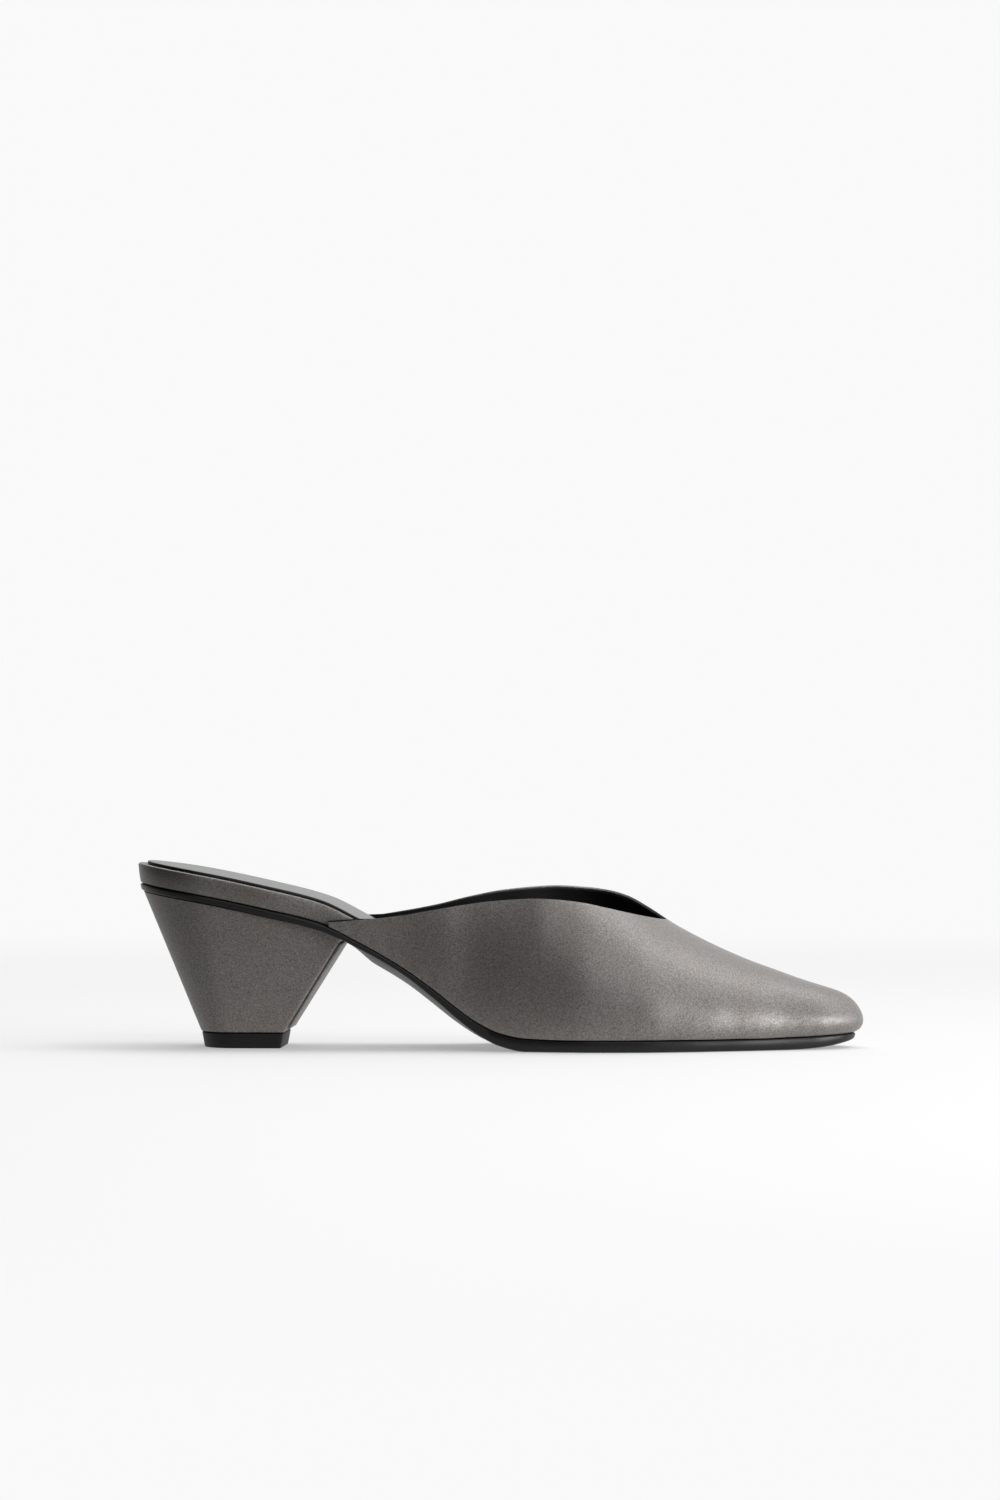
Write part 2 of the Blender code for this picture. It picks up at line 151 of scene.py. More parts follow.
# Share of sole length; height of the last's ridge above the sole as a share of the throat's, its
# place across as a share of the ball width, how square the section is, and its share of the bulge.
# Behind the throat the collar cuts the form below this ridge.
LAST = (
    ("share", "ridge_rise", "crest", "fullness", "bulge"),
    (0.26, 1.15, 0.000, 2.30, 0.00),
    (0.37, 1.42, -0.010, 2.30, 0.15),
    (0.44, 1.58, -0.010, 2.25, 0.40),
    (0.50, 1.69, 0.000, 2.20, 0.65),
    (0.56, 1.68, 0.010, 2.15, 0.90),
    (0.615, 1.54, 0.025, 2.10, 1.00),
    (0.677, 1.290, 0.040, 2.10, 1.00),
    (0.737, 1.000, 0.045, 2.10, 1.00),
    (0.789, 0.820, 0.050, 2.15, 1.00),
    (0.841, 0.672, 0.050, 2.20, 0.95),
    (0.891, 0.552, 0.048, 2.20, 0.90),
    (0.941, 0.425, 0.042, 2.20, 1.10),
    (1.00, 0.300, 0.036, 2.30, 1.40),
)

# Share of the way from the wing's start to the throat; height of the collar on each side, from its
# ends at 0 to its peak at 1
COLLAR = (
    ("way", "outer", "inner"),
    (0.00, 0.000, 0.000),
    (0.10, 0.120, 0.080),
    (0.20, 0.260, 0.235),
    (0.30, 0.490, 0.428),
    (0.40, 0.730, 0.678),
    (0.50, 0.910, 0.872),
    (0.62, 1.000, 0.985),
    (0.66, 0.980, 1.000),
    (0.75, 0.840, 0.950),
    (0.82, 0.620, 0.860),
    (0.88, 0.410, 0.690),
    (0.94, 0.200, 0.370),
    (1.00, 0.000, 0.000),
)
COLLAR_PEAK = {OUTER: 0.62, INNER: 0.66}
COLLAR_SIDES = {OUTER: (OUTER_PEAK_RISE, "outer"), INNER: (INNER_PEAK_RISE, "inner")}

# Where the board grows thin under the vamp, and where the tip of the sole lifts, as shares of length
BOARD_THINS = (0.33, 0.56)
SPRING_START = 0.84
LIFT_START = 0.88

# How far toward the middle each ring of the crown lies
CROWN_RINGS = (0.12, 0.25, 0.40, 0.55, 0.70, 0.85)

# Where the bulge is widest on a rib, and how quickly the ribs gather at the toe
BULGE_EXPONENT = 0.65
FAN_START = 1.5


def read(table, name, share):
    """Value of a table's named column at a share, on a smooth curve that never overshoots its rows."""
    column = table[0].index(name)
    rows = table[1:]
    last = len(rows) - 1
    if share <= rows[0][0]:
        return rows[0][column]
    if share >= rows[last][0]:
        return rows[last][column]
    row = max(k for k in range(last) if rows[k][0] <= share)

    def secant(k):
        return (rows[k + 1][column] - rows[k][column]) / (rows[k + 1][0] - rows[k][0])

    def slope(k):
        if k in (0, last):
            return secant(min(k, last - 1))
        before, after = secant(k - 1), secant(k)
        if before * after <= 0:
            return 0.0
        return 2 * before * after / (before + after)

    step = rows[row + 1][0] - rows[row][0]
    t = (share - rows[row][0]) / step
    start, end = rows[row][column], rows[row + 1][column]
    return (start * (1 + 2 * t) * (1 - t) ** 2 + end * t * t * (3 - 2 * t)
            + step * t * (1 - t) * (slope(row) * (1 - t) - slope(row + 1) * t))


def ease(start, end, value):
    """Rises smoothly from 0 at start to 1 at end."""
    t = min(max((value - start) / (end - start), 0.0), 1.0)
    return t * t * (3 - 2 * t)


def mix(a, b, t):
    return a + (b - a) * t


def round_end(distance, reach):
    """Width share of an elliptical end: 0 at the end itself and 1 from its reach on."""
    t = min(max(distance / reach, 0.0), 1.0)
    return math.sqrt(t * (2 - t))


def centre_y(x):
    return BALL_WIDTH * read(PLAN, "centre", x / SOLE_LENGTH)


def half_width(x):
    ends = round_end(x, HEEL_ROUND) * round_end(SOLE_LENGTH - x, TOE_ROUND)
    return BALL_WIDTH * read(PLAN, "half", x / SOLE_LENGTH) * ends


def side_y(x, side):
    return centre_y(x) + side * half_width(x)


def late_rise(x, start, height, power):
    """Height gained toward the toe, from a share of the length on."""
    past = max((x / SOLE_LENGTH - start) / (1 - start), 0.0)
    return height * past ** power


def level_top(x):
    """Top of the sole before the toe spring."""
    return mix(TREAD_THICKNESS, SEAT_HEIGHT, read(SIDE, "rise", x / SOLE_LENGTH))


def sole_top(x):
    return level_top(x) + late_rise(x, SPRING_START, TOE_SPRING, 2)


def sole_bottom(x, crown=0.0):
    """Underside of the sole; crown runs from 0 at its edge to 1 in its middle."""
    share = x / SOLE_LENGTH
    edge = level_top(x) - TREAD_THICKNESS * read(SIDE, "thickness", share)
    in_front = ease(BREAST_TOP_X, BREAST_TOP_X + CROWN_REACH, x)
    crowned = edge - crown * in_front * WAIST_CROWN * read(SIDE, "crown", share)
    return max(crowned, 0.0) + late_rise(x, LIFT_START, TREAD_LIFT, 3)


def board_top(x):
    share = x / SOLE_LENGTH
    height = mix(BOARD_HEIGHT, BOARD_FRONT_HEIGHT, ease(BOARD_THINS[0], BOARD_THINS[1], share))
    return sole_top(x) + GAP + height


def even_places(start, end):
    """Places from start up to, but not at, end."""
    count = max(round((end - start) / STATION_STEP), 1)
    return [mix(start, end, k / count) for k in range(count)]


def stations():
    """Places along the sole: even in the middle, at even angles round both ends."""
    back = [HEEL_ROUND * (1 - math.cos(math.pi / 2 * k / ROUND_STEPS)) for k in range(ROUND_STEPS)]
    marks = sorted((HEEL_ROUND, WING_START, BREAST_TOP_X, SOLE_LENGTH - TOE_ROUND))
    middle = [x for start, end in zip(marks, marks[1:]) for x in even_places(start, end)]
    toe = [SOLE_LENGTH - TOE_ROUND * (1 - math.cos(math.pi / 2 * k / ROUND_STEPS))
           for k in range(ROUND_STEPS, -1, -1)]
    return back + middle + toe


def outline(inset):
    """Sole's outline in plan, moved inward: the back, the outer side, the tip, then the inner side."""
    places = stations()
    loop = [(x, side_y(x, OUTER)) for x in places]
    loop += [(x, side_y(x, INNER)) for x in reversed(places[1:-1])]
    moved = []
    for k, (x, y) in enumerate(loop):
        x_before, y_before = loop[k - 1]
        x_after, y_after = loop[(k + 1) % len(loop)]
        run, climb = x_after - x_before, y_after - y_before
        length = math.hypot(run, climb)
        moved.append((x - climb / length * inset(x), y + run / length * inset(x)))
    return moved


def ring(inset, height):
    return [(x, y, height(x)) for x, y in outline(inset)]


def toward_middle(points, share, height):
    """A ring drawn in toward the line that runs between its two sides."""
    count = len(points)
    drawn = []
    for k, (x, y, _) in enumerate(points):
        middle = (y + points[-k % count][1]) / 2
        drawn.append((x, mix(y, middle, share), height(x)))
    return drawn


# Where the part's own measures lie in the frame
TIP_LOW, TIP_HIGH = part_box("heel_tip")
SOLE_LOW, SOLE_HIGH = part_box("outsole")
MOVE = Vector((SOLE_LOW[0], (TIP_LOW[1] + TIP_HIGH[1]) / 2, 0.0))

# Studio floor: its own colour and glow near the shoe, the distances over which it turns into the
# backdrop, and the light that it throws back, from the dark side to the bright one
FLOOR_SIZE = 60.0
FLOOR_COLOR = (0.60, 0.60, 0.60)
FLOOR_GLOW = 0.33
FLOOR_FAR = (0.40, 1.10)
FLOOR_BOUNCE = (0.03, 0.80)
FLOOR_FADE = (-0.40, 0.15)

# Studio light: the surroundings brighten toward the bright side, which lies right of and behind the
# shoe. An area light's row holds its name, place, aim, size and power.
BACKDROP = 0.948
BRIGHT_SIDE = (0.60, 0.80, 0.0)
WORLD_LEVELS = (0.022, 0.90)
WORLD_FADE = (-0.35, 0.60)
SUN_STRENGTH = 0.55
SUN_SPREAD = 40.0
SUN_FROM = (0.55, 0.10, 0.80)
AREA_LIGHTS = (
    ("toe_softbox", (1.10, -0.45, 0.12), (0.08, 0.0, 0.02), (0.9, 0.35), 12.0),
    ("top_softbox", (0.15, 0.35, 1.40), (0.0, 0.0, 0.0), (1.4, 0.9), 8.0),
    ("front_softbox", (0.35, -1.10, 1.00), (0.03, 0.0, 0.03), (1.0, 0.8), 3.9),
)

# Layers of the upper's wall: the lining's edge lies under the satin's, except at the wings' tails,
# which end over a share of the way to the throat; there its black edge stands above the satin as a
# painted shade line along the wing's top edge
SATIN_LAYER = 0.0008
LAYER_GAP = 0.00005
LINING_DROP = 0.0004
TAIL_SHADE_LINE_RISE = 0.0005
SHADE_LINE_ENDS = (0.06, 0.20)
EDGE_FOLD = 0.00036
EDGE_FOLD_SHARE = 0.45
FACING_SEAM_DROP = 0.0014
FACING_SEAM_RADIUS = 0.00014
FACING_SEAM_ENDS = (6, 3)

# Soft rounding of the sock's edge and of the tip's lower edge
SOCK_ROUND = 0.00035
SOCK_BAND = 0.0012
SOCK_BEVEL = 0.0001
TIP_EDGE = 0.0005
TIP_EDGE_ROUND = 0.0002


def strip_across(loop):
    """Faces between the two sides of a ring that runs out along one side and back along the other."""
    half = len(loop) // 2
    faces = [(loop[0], loop[1], loop[-1])]
    faces += [(loop[k], loop[k + 1], loop[-k - 1], loop[-k]) for k in range(1, half - 1)]
    faces.append((loop[half - 1], loop[half], loop[half + 1]))
    return faces


def to_object(name, solid, materials, sharp=35):
    """Turns a bmesh in the part's own measures into a smooth object in the frame."""
    bmesh.ops.recalc_face_normals(solid, faces=solid.faces)
    bmesh.ops.translate(solid, verts=solid.verts, vec=MOVE)
    mesh = bpy.data.meshes.new(name)
    solid.to_mesh(mesh)
    solid.free()
    mesh.shade_smooth()
    mesh.set_sharp_from_angle(angle=math.radians(sharp))
    for each in materials:
        mesh.materials.append(each)
    made = bpy.data.objects.new(name, mesh)
    bpy.context.scene.collection.objects.link(made)
    return made


def loft(name, materials, rings, cap=strip_across, bands=None, caps=(0, 0), sharp=35):
    """Closed solid through rings of equal count; bands and caps give each one's material."""
    solid = bmesh.new()
    loops = [[solid.verts.new(point) for point in points] for points in rings]
    for band, (above, below) in enumerate(zip(loops, loops[1:])):
        for k in range(len(above)):
            after = (k + 1) % len(above)
            face = solid.faces.new((above[k], above[after], below[after], below[k]))
            face.material_index = bands[band] if bands else 0
    for loop, index in ((loops[0], caps[0]), (loops[-1], caps[1])):
        for corners in cap(loop):
            solid.faces.new(corners).material_index = index
    return to_object(name, solid, materials, sharp)


def settle(piece, slot, *nodes):
    """Rides a piece on the shoe and hides the nodes that it stands for; the slot is not used."""
    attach(piece, "root")
    if nodes:
        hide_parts(*nodes)
    return piece


# Photo's camera: the middle of the shoe is the origin
VIEW_DISTANCE = 2.070
VIEW_AZIMUTH = math.radians(3.0)
VIEW_HEIGHT = 0.115
VIEW_PITCH = math.radians(0.389)
LENS = 146.0
SENSOR = 36.0

# Soft pulls and creases on the vamp: side, place along the sole as a share, height above the floor,
# length, width, lean from the sole's line in degrees, depth (a ridge is below zero)
CREASES = (
    (OUTER, 0.700, 0.0140, 0.0120, 0.0045, 100, 0.00020),
    (OUTER, 0.780, 0.0180, 0.0160, 0.0060, 60, 0.00035),
    (OUTER, 0.835, 0.0130, 0.0100, 0.0040, 95, 0.00030),
    (OUTER, 0.872, 0.0110, 0.0090, 0.0045, 100, -0.00012),
    (OUTER, 0.905, 0.0120, 0.0080, 0.0040, 85, 0.00014),
    (OUTER, 0.965, 0.0145, 0.0120, 0.0030, -12, 0.00020),
    (OUTER, 0.560, 0.0200, 0.0180, 0.0080, 70, 0.00030),
    (OUTER, 0.470, 0.0260, 0.0160, 0.0070, 40, 0.00020),
    (INNER, 0.720, 0.0160, 0.0140, 0.0055, 80, 0.00030),
    (INNER, 0.800, 0.0140, 0.0110, 0.0045, 95, 0.00025),
    (INNER, 0.860, 0.0120, 0.0090, 0.0040, 85, 0.00025),
    (INNER, 0.960, 0.0140, 0.0110, 0.0028, -12, 0.00030),
    (INNER, 0.550, 0.0220, 0.0180, 0.0080, 65, 0.00025),
)
PUCKER_LENGTH = 0.0064
PUCKER_DEPTH = 0.00007
PUCKER_HEIGHT = 0.0060


def start_material(name, roughness, metallic=0.0, specular=0.5, sheen=0.0, sheen_roughness=0.5):
    made = bpy.data.materials.new(name)
    made.use_nodes = True
    tree = made.node_tree
    shader = tree.nodes["Principled BSDF"]
    shader.inputs["Roughness"].default_value = roughness
    shader.inputs["Metallic"].default_value = metallic
    shader.inputs["Specular IOR Level"].default_value = specular
    shader.inputs["Sheen Weight"].default_value = sheen
    shader.inputs["Sheen Roughness"].default_value = sheen_roughness
    return made, tree, shader


def place_on_object(tree, stretch=(1, 1, 1)):
    """The object's own coordinates, in metres, drawn out by a stretch."""
    coordinates = tree.nodes.new("ShaderNodeTexCoord")
    mapping = tree.nodes.new("ShaderNodeMapping")
    mapping.inputs["Scale"].default_value = stretch
    tree.links.new(coordinates.outputs["Object"], mapping.inputs["Vector"])
    return mapping.outputs["Vector"]


def noise(tree, place, scale, detail=2.0, roughness=0.5):
    texture = tree.nodes.new("ShaderNodeTexNoise")
    texture.inputs["Scale"].default_value = scale
    texture.inputs["Detail"].default_value = detail
    texture.inputs["Roughness"].default_value = roughness
    tree.links.new(place, texture.inputs["Vector"])
    return texture.outputs["Fac"]


def ramp(tree, value, stops):
    """A colour ramp through (position, colour) stops."""
    node = tree.nodes.new("ShaderNodeValToRGB")
    for element, (position, color) in zip(node.color_ramp.elements, stops):
        element.position = position
        element.color = (*color, 1.0)
    tree.links.new(value, node.inputs["Fac"])
    return node.outputs["Color"]


def span(tree, value, low, high):
    """Maps a 0 to 1 value onto low to high."""
    node = tree.nodes.new("ShaderNodeMapRange")
    node.inputs["To Min"].default_value = low
    node.inputs["To Max"].default_value = high
    tree.links.new(value, node.inputs["Value"])
    return node.outputs["Result"]


def blend_colors(tree, kind, share, first, second):
    node = tree.nodes.new("ShaderNodeMix")
    node.data_type = "RGBA"
    node.blend_type = kind
    node.inputs["Factor"].default_value = share
    tree.links.new(first, node.inputs[6])
    tree.links.new(second, node.inputs[7])
    return node.outputs[2]


def bump(tree, shader, layers):
    """Chains bumps from (height, strength, distance) layers onto the shader's normal."""
    normal = None
    for height, strength, distance in layers:
        node = tree.nodes.new("ShaderNodeBump")
        node.inputs["Strength"].default_value = strength
        node.inputs["Distance"].default_value = distance
        tree.links.new(height, node.inputs["Height"])
        if normal:
            tree.links.new(normal, node.inputs["Normal"])
        normal = node.outputs["Normal"]
    tree.links.new(normal, shader.inputs["Normal"])


def satin_material(name, dark, light, warm, roughness):
    """Satin: a fine glittering grain on a grey that drifts a little warm."""
    made, tree, shader = start_material(name, roughness, metallic=0.55, specular=0.5, sheen=0.10)
    place = place_on_object(tree)
    grain = noise(tree, place, 2100, 2.0, 0.6)
    threads = noise(tree, place_on_object(tree, (1.0, 1.0, 3.0)), 900, 2.0, 0.5)
    cloud = noise(tree, place, 55, 3.0, 0.5)
    speckle = ramp(tree, grain, ((0.30, dark), (0.70, light)))
    drift = ramp(tree, cloud, ((0.35, (1.0, 1.0, 1.0)), (0.70, warm)))
    color = blend_colors(tree, "MULTIPLY", 1.0, speckle, drift)
    tree.links.new(color, shader.inputs["Base Color"])
    tree.links.new(span(tree, threads, roughness - 0.07, roughness + 0.07), shader.inputs["Roughness"])
    bump(tree, shader, ((grain, 0.34, 0.00014), (threads, 0.20, 0.00015), (cloud, 0.10, 0.0008)))
    return made


def grained_material(name, dark, light, roughness, grain_scale, depth, specular=0.5):
    """Leatherette, rubber or lining: a small grain with slightly uneven gloss."""
    made, tree, shader = start_material(name, roughness, specular=specular)
    place = place_on_object(tree)
    grain = noise(tree, place, grain_scale, 3.0, 0.55)
    wear = noise(tree, place, 40, 3.0, 0.6)
    color = blend_colors(tree, "MIX", 0.5, ramp(tree, grain, ((0.3, dark), (0.7, light))),
                         ramp(tree, wear, ((0.3, dark), (0.75, light))))
    tree.links.new(color, shader.inputs["Base Color"])
    tree.links.new(span(tree, wear, roughness - 0.06, roughness + 0.08), shader.inputs["Roughness"])
    bump(tree, shader, ((grain, 0.30, depth), (wear, 0.10, 0.0006)))
    return made


satin = satin_material("grey_satin", dark=(0.125, 0.118, 0.113), light=(0.300, 0.286, 0.275),
                       warm=(1.0, 0.96, 0.935), roughness=0.47)
lining = grained_material("black_lining", dark=(0.006, 0.006, 0.006), light=(0.016, 0.016, 0.017),
                          roughness=0.62, grain_scale=1500, depth=0.00010, specular=0.3)
sock_top = grained_material("grey_leatherette", dark=(0.085, 0.085, 0.086), light=(0.150, 0.150, 0.151),
                            roughness=0.33, grain_scale=1300, depth=0.00012)
cut_edge = grained_material("black_edge", dark=(0.006, 0.006, 0.006), light=(0.012, 0.012, 0.012),
                            roughness=0.55, grain_scale=1200, depth=0.00008)
rubber = grained_material("black_rubber", dark=(0.006, 0.006, 0.007), light=(0.012, 0.012, 0.013),
                          roughness=0.38, grain_scale=900, depth=0.00006, specular=0.32)
tip_rubber = grained_material("tip_rubber", dark=(0.004, 0.004, 0.004), light=(0.008, 0.008, 0.008),
                              roughness=0.55, grain_scale=900, depth=0.00006, specular=0.3)


def ridge_point(x):
    share = x / SOLE_LENGTH
    height = sole_top(x) + GAP + THROAT_RISE * read(LAST, "ridge_rise", share)
    return (x, BALL_WIDTH * read(LAST, "crest", share), height)


def collar_height(x, side):
    """Height of the collar's edge on one side, between the wing's start and the throat."""
    way = (x - WING_START) / (THROAT_X - WING_START)
    peak_rise, column = COLLAR_SIDES[side]
    peak = TREAD_THICKNESS + GAP + peak_rise
    if way < COLLAR_PEAK[side]:
        end = sole_top(WING_START) + GAP + WING_TIP_HEIGHT
    else:
        end = ridge_point(THROAT_X)[2]
    return mix(end, peak, read(COLLAR, column, way))


def toe_base_points(side):
    """Points at even steps along the sole's outline, from the throat round to the tip."""
    fine = 1600
    reach = SOLE_LENGTH - THROAT_X
    path = []
    for k in range(fine + 1):
        x = SOLE_LENGTH - reach * (1 - math.sin(math.pi / 2 * k / fine))
        path.append((x, side_y(x, side)))
    walked = [0.0]
    for before, after in zip(path, path[1:]):
        walked.append(walked[-1] + math.dist(before, after))
    points = []
    reached = 0
    for step in range(TOE_RIBS + 1):
        wanted = walked[-1] * step / TOE_RIBS
        while reached < fine and walked[reached] < wanted:
            reached += 1
        points.append(path[reached])
    return points


def ridge_fall(x, ahead):
    """How far the ridge would drop if it ran on from x as steeply as it does there."""
    step = SOLE_LENGTH / 500
    return (ridge_point(x - step)[2] - ridge_point(x + step)[2]) / (2 * step) * (ahead - x)


def rib(base, top, side_share, cut_height):
    """Points up one rib of the last, from the sole to the ridge or to the collar."""
    fullness = read(LAST, "fullness", side_share)
    bulge = SIDE_BULGE * read(LAST, "bulge", side_share)
    fall = ridge_fall(top[0], base[0])
    base_height = sole_top(base[0]) + GAP
    rise = top[2] - base_height
    run = math.dist(base, top[:2])
    reach = min((cut_height - base_height) / rise, 1.0)
    end_angle = math.asin(reach ** (fullness / 2))
    points = []
    for row in range(RIB_ROWS + 1):
        angle = end_angle * row / RIB_ROWS
        height = math.sin(angle) ** (2 / fullness)
        width = max(math.cos(angle), 0.0) ** (2 / fullness)
        if reach == 1.0 and row == RIB_ROWS:
            height, width = 1.0, 0.0
        out = bulge * math.sin(math.pi * height ** BULGE_EXPONENT) / run
        spread = width + out
        z = base_height + rise * height - fall * spread * (1 - spread) ** 2
        points.append((mix(top[0], base[0], spread), mix(top[1], base[1], spread), z))
    return points


def lining_drop_and_shade_line(way):
    """How far the lining's edge lies under the satin's; at the wing's tail it stands above it instead, so
    that its black edge is a painted shade line along the wing's top edge.
    """
    return mix(-TAIL_SHADE_LINE_RISE, LINING_DROP, ease(SHADE_LINE_ENDS[0], SHADE_LINE_ENDS[1], way))


def no_drop(way):
    return 0.0


def upper_ribs(side, drop):
    """All ribs of one side, from the wing's start to the toe; drop lowers the collar's edge."""
    ribs = []
    for k in range(WING_RIBS):
        x = mix(WING_START + GAP, THROAT_X, k / WING_RIBS)
        cut = collar_height(x, side) - drop(k / WING_RIBS)
        ribs.append(rib((x, side_y(x, side)), ridge_point(x), x / SOLE_LENGTH, cut))
    for k, base in enumerate(toe_base_points(side)):
        way = k / TOE_RIBS
        gathered = FAN_START * way + (1 - FAN_START) * way ** 2
        top = ridge_point(mix(THROAT_X, TOE_RIDGE_END, gathered))
        ribs.append(rib(base, top, base[0] / SOLE_LENGTH, top[2]))
    return ribs


def relief(point):
    """How far the vamp sinks at a point, from its creases and the small puckers along the sole."""
    x, y, z = point
    side = OUTER if y < centre_y(x) else INNER
    sink = 0.0
    for crease_side, share, height, length, width, lean, depth in CREASES:
        if crease_side != side:
            continue
        along, up = x - share * SOLE_LENGTH, z - height
        angle = math.radians(lean)
        run = along * math.cos(angle) + up * math.sin(angle)
        off = up * math.cos(angle) - along * math.sin(angle)
        sink += depth * math.exp(-(run / length) ** 2 - (off / width) ** 2)
    above = z - sole_top(x)
    if above < PUCKER_HEIGHT and x > WING_START:
        fade = math.sin(math.pi * max(above, 0.0) / PUCKER_HEIGHT)
        wave = math.sin(2 * math.pi * (x + 0.35 * y) / PUCKER_LENGTH + 1.3 * math.sin(x * 90))
        sink += PUCKER_DEPTH * fade * wave
    return sink


def vamp_shell(name, depth, thickness, drop, material_used):
    """One layer of the upper's wall, at a depth under its outer face."""
    shell = bmesh.new()
    sides = {side: [[shell.verts.new(point) for point in points] for points in upper_ribs(side, drop)]
             for side in (OUTER, INNER)}
    for k in range(WING_RIBS, WING_RIBS + TOE_RIBS + 1):
        sides[INNER][k][-1] = sides[OUTER][k][-1]
    sides[INNER][-1] = sides[OUTER][-1]
    for side, ribs in sides.items():
        for here, ahead in zip(ribs, ribs[1:]):
            for row in range(RIB_ROWS):
                face = [here[row], ahead[row], ahead[row + 1], here[row + 1]]
                shell.faces.new(face if side == OUTER else reversed(face))
    bmesh.ops.delete(shell, geom=[vert for vert in shell.verts if not vert.link_faces], context="VERTS")
    shell.normal_update()
    moves = [(vert, vert.normal * -(depth + relief(vert.co))) for vert in shell.verts]
    for vert, move in moves:
        vert.co += move
    bmesh.ops.translate(shell, verts=shell.verts, vec=MOVE)
    mesh = bpy.data.meshes.new(name)
    shell.to_mesh(mesh)
    shell.free()
    mesh.shade_smooth()
    mesh.materials.append(material_used)
    piece = bpy.data.objects.new(name, mesh)
    bpy.context.scene.collection.objects.link(piece)
    wall = piece.modifiers.new("wall", "SOLIDIFY")
    wall.thickness = thickness
    wall.offset = -1.0
    wall.use_even_offset = True
    fold = piece.modifiers.new("fold", "BEVEL")
    fold.width = min(EDGE_FOLD, thickness * EDGE_FOLD_SHARE)
    fold.segments = 3
    fold.limit_method = "ANGLE"
    fold.angle_limit = math.radians(60)
    return piece


def build_upper():
    outer = vamp_shell("satin_upper", 0.0, SATIN_LAYER, no_drop, satin)
    settle(outer, "satin", "upper")
    depth = SATIN_LAYER + LAYER_GAP
    # The lining's black edge stands above the satin at the wings' tails as a painted shade line.
    inner = vamp_shell("upper_lining", depth, UPPER_WALL - depth, lining_drop_and_shade_line, lining)
    settle(inner, "lining", "upper")


def build_facing_seam():
    """The seam that holds the lining's facing, just under the collar's edge on its inside."""
    curve = bpy.data.curves.new("facing_seam", "CURVE")
    curve.dimensions = "3D"
    curve.bevel_depth = FACING_SEAM_RADIUS
    curve.bevel_resolution = 2
    curve.use_fill_caps = True
    curve.materials.append(cut_edge)
    for side in (OUTER, INNER):
        points = []
        for k in range(FACING_SEAM_ENDS[0], WING_RIBS - FACING_SEAM_ENDS[1]):
            x = mix(WING_START + GAP, THROAT_X, k / WING_RIBS)
            base, top = (x, side_y(x, side)), ridge_point(x)
            end = rib(base, top, x / SOLE_LENGTH, collar_height(x, side) - FACING_SEAM_DROP)[-1]
            inward = UPPER_WALL * 1.08 / math.dist(base, top[:2])
            points.append((mix(end[0], top[0], inward), mix(end[1], top[1], inward), end[2]))
        spline = curve.splines.new("POLY")
        spline.points.add(len(points) - 1)
        for place, point in zip(spline.points, points):
            place.co = (*(Vector(point) + MOVE), 1.0)
    seam = bpy.data.objects.new("facing_seam", curve)
    bpy.context.scene.collection.objects.link(seam)
    settle(seam, "lining")


def build_outsole():
    """Sole with a rounded edge, a crowned waist, a flat tread and toe spring."""
    bottom = ring(lambda x: 2 * SOLE_EDGE_ROUND, sole_bottom)
    rings = [
        ring(lambda x: 2.5 * SOLE_EDGE_ROUND, sole_top),
        ring(lambda x: SOLE_EDGE_ROUND, sole_top),
        ring(lambda x: SOLE_EDGE_ROUND * 0.3, lambda x: sole_top(x) - SOLE_EDGE_ROUND * 0.35),
        ring(lambda x: 0.0, lambda x: sole_top(x) - SOLE_EDGE_ROUND),
        ring(lambda x: SOLE_EDGE_ROUND * 0.5, lambda x: sole_bottom(x) + SOLE_EDGE_ROUND),
        ring(lambda x: SOLE_EDGE_ROUND * 0.95, lambda x: sole_bottom(x) + SOLE_EDGE_ROUND * 0.35),
        bottom,
    ]
    for share in CROWN_RINGS:
        crown = 1 - (1 - share) ** 2
        rings.append(toward_middle(bottom, share, lambda x: sole_bottom(x, crown)))
    settle(loft("rubber_outsole", [rubber], rings), "rubber", "outsole")


def board_inset(x):
    """The board narrows toward the wings, which lie over its rim."""
    return ease(WING_START - BOARD_NARROWS, WING_START, x) * (UPPER_WALL + GAP)


def build_board():
    """Satin-wrapped board whose rim leans out at the heel, with softly rounded edges."""
    cover = UPPER_WALL + GAP

    def flared(share, round_in=0.0):
        return lambda x: (board_inset(x) + round_in
                          - BOARD_FLARE * share * (1 - board_inset(x) / cover))

    def level(share):
        return lambda x: mix(sole_top(x) + GAP, board_top(x), share)

    edge = BOARD_EDGE_ROUND
    step = edge / BOARD_HEIGHT
    rings = [
        ring(flared(1, 3 * edge), board_top),
        ring(flared(1, edge), board_top),
        ring(flared(1, edge * 0.3), level(1 - step * 0.3)),
        ring(flared(1), level(1 - step)),
        ring(flared(0.5, -edge * 0.15), level(0.5)),
        ring(flared(0), level(step)),
        ring(flared(0, edge * 0.3), level(step * 0.3)),
        ring(flared(0, edge), level(0)),
    ]
    settle(loft("satin_board", [satin], rings), "satin", "insole_board")


def build_sock():
    """Leatherette sock with a black cut edge."""
    def inset(x):
        return board_inset(x) + SOCK_INSET

    def level(share):
        return lambda x: board_top(x) + GAP + SOCK_THICKNESS * share

    rings = [
        ring(lambda x: inset(x) + SOCK_BAND, level(1.0)),
        ring(lambda x: inset(x) + SOCK_ROUND, level(1.0)),
        ring(lambda x: inset(x) + SOCK_BEVEL, level(0.85)),
        ring(inset, level(0.6)),
        ring(inset, level(0.0)),
    ]
    settle(loft("leatherette_sock", [sock_top, cut_edge], rings, bands=(0, 0, 1, 1), caps=(0, 1)),
           "sock", "insole_sock")


